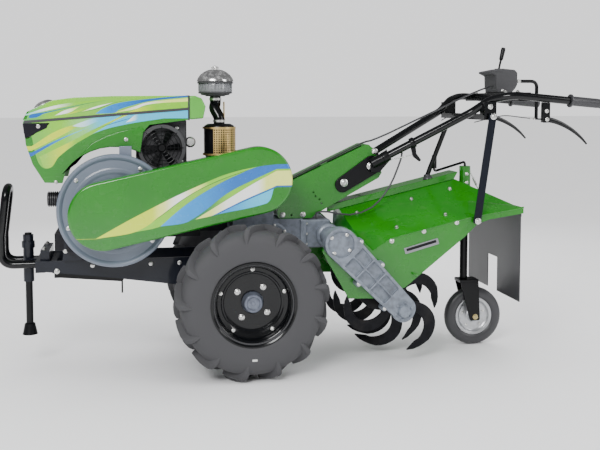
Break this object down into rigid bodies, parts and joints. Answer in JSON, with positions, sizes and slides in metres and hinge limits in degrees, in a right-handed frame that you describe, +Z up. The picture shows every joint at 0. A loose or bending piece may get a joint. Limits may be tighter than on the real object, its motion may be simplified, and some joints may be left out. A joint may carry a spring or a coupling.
{
  "type": "walking tractor",
  "caption": "Two-wheel walking tractor: front diesel engine with side belt drive, long handlebars, and a rear-mounted rotary tiller with hood, side chain case and height-adjustable tail wheel.",
  "frame": {"origin": "on the ground, under the middle of the overall length, on the middle plane", "axes": "+X rearwards, towards the operator; +Y the machine's right; +Z up"},
  "size_m": [2.58, 0.865, 1.3821],
  "materials": {
    "black_moulding": "matte",
    "black_paint": "gloss",
    "black_rubber": "satin",
    "bright_steel": "satin",
    "cap_metal": "satin",
    "casting_grey": "satin",
    "cleaner_bowl": "gloss",
    "engine_casting": "matte",
    "frame_paint": "satin",
    "green_paint": "gloss",
    "guard_gold": "satin",
    "iron_grey": "satin",
    "lamp_lens": "gloss",
    "pulley_iron": "satin",
    "tine_steel": "gloss",
    "tyre_rubber": "matte"
  },
  "bodies": {
    "machine": {"air_precleaner": "cleaner_bowl", "belt_cover": "green_paint", "bonnet_lower": "green_paint", "bonnet_top": "green_paint", "chain_case": "iron_grey", "clutch_cable_left": "black_rubber", "clutch_cable_right": "black_rubber", "clutch_lever_left": "black_paint", "clutch_lever_right": "black_paint", "clutch_pulley": "pulley_iron", "clutch_rod": "black_paint", "console": "black_moulding", "console_bridge": "black_paint", "console_lever": "black_paint", "drive_belt": "black_rubber", "engine_block": "engine_casting", "engine_pulley": "pulley_iron", "filler_cap": "cap_metal", "flywheel_guard": "casting_grey", "front_bumper": "black_paint", "front_frame": "frame_paint", "fuel_tank": "black_moulding", "gearbox": "casting_grey", "grip_left": "black_rubber", "grip_right": "black_rubber", "handle_arm": "green_paint", "handle_crossbar": "black_paint", "handle_plate_left": "black_paint", "handle_plate_right": "black_paint", "handle_strut": "frame_paint", "handlebar_left": "black_paint", "handlebar_right": "black_paint", "headlamp": "lamp_lens", "intake_elbow": "black_paint", "muffler": "guard_gold", "radiator": "black_moulding", "rear_flap": "black_rubber", "ridge_beam": "green_paint", "shift_lever": "black_paint", "stand_sleeve": "frame_paint", "tail_crank": "black_paint", "tail_sleeve": "green_paint", "throttle_cable": "black_rubber", "tiller_drive_case": "iron_grey", "tiller_hood": "green_paint", "tiller_side_left": "green_paint", "tiller_side_right": "green_paint"},
    "left_wheel": {"tyre_left": "tyre_rubber", "rim_left": "black_paint", "hub_left": "pulley_iron"},
    "right_wheel": {"tyre_right": "tyre_rubber", "rim_right": "black_paint", "hub_right": "pulley_iron"},
    "rotor_shaft": {"rotor": "tine_steel"},
    "tail_column": {"tail_leg": "black_paint"},
    "tail_wheel": {"tail_rim": "bright_steel", "tail_tyre": "tyre_rubber"},
    "parking_stand": {"front_stand": "black_paint"},
    "folding_leg": {"prop_leg": "black_paint"}
  },
  "joints": [
    {"name": "left_wheel_spin", "type": "hinge", "parent": "machine", "child": "left_wheel", "pos_m": [-0.26, -0.35, 0.32], "axis": [0, 1, 0], "continuous": true},
    {"name": "right_wheel_spin", "type": "hinge", "parent": "machine", "child": "right_wheel", "pos_m": [-0.26, 0.35, 0.32], "axis": [0, 1, 0], "continuous": true},
    {"name": "rotor_spin", "type": "hinge", "parent": "machine", "child": "rotor_shaft", "pos_m": [0.38, 0, 0.255], "axis": [0, 1, 0], "continuous": true},
    {"name": "tail_wheel_height", "type": "slide", "parent": "machine", "child": "tail_column", "axis": [0, 0, 1], "range_m": [-0.06, 0.11]},
    {"name": "tail_wheel_spin", "type": "hinge", "parent": "tail_column", "child": "tail_wheel", "pos_m": [0.825, 0, 0.135], "axis": [0, 1, 0], "continuous": true},
    {"name": "stand_height", "type": "slide", "parent": "machine", "child": "parking_stand", "axis": [0, 0, -1], "range_m": [-0.12, 0.142]},
    {"name": "folding_leg_hinge", "type": "hinge", "parent": "machine", "child": "folding_leg", "pos_m": [-1.044, -0.065, 0.406], "axis": [0, 1, 0], "range_deg": [0, 90]}
  ]
}
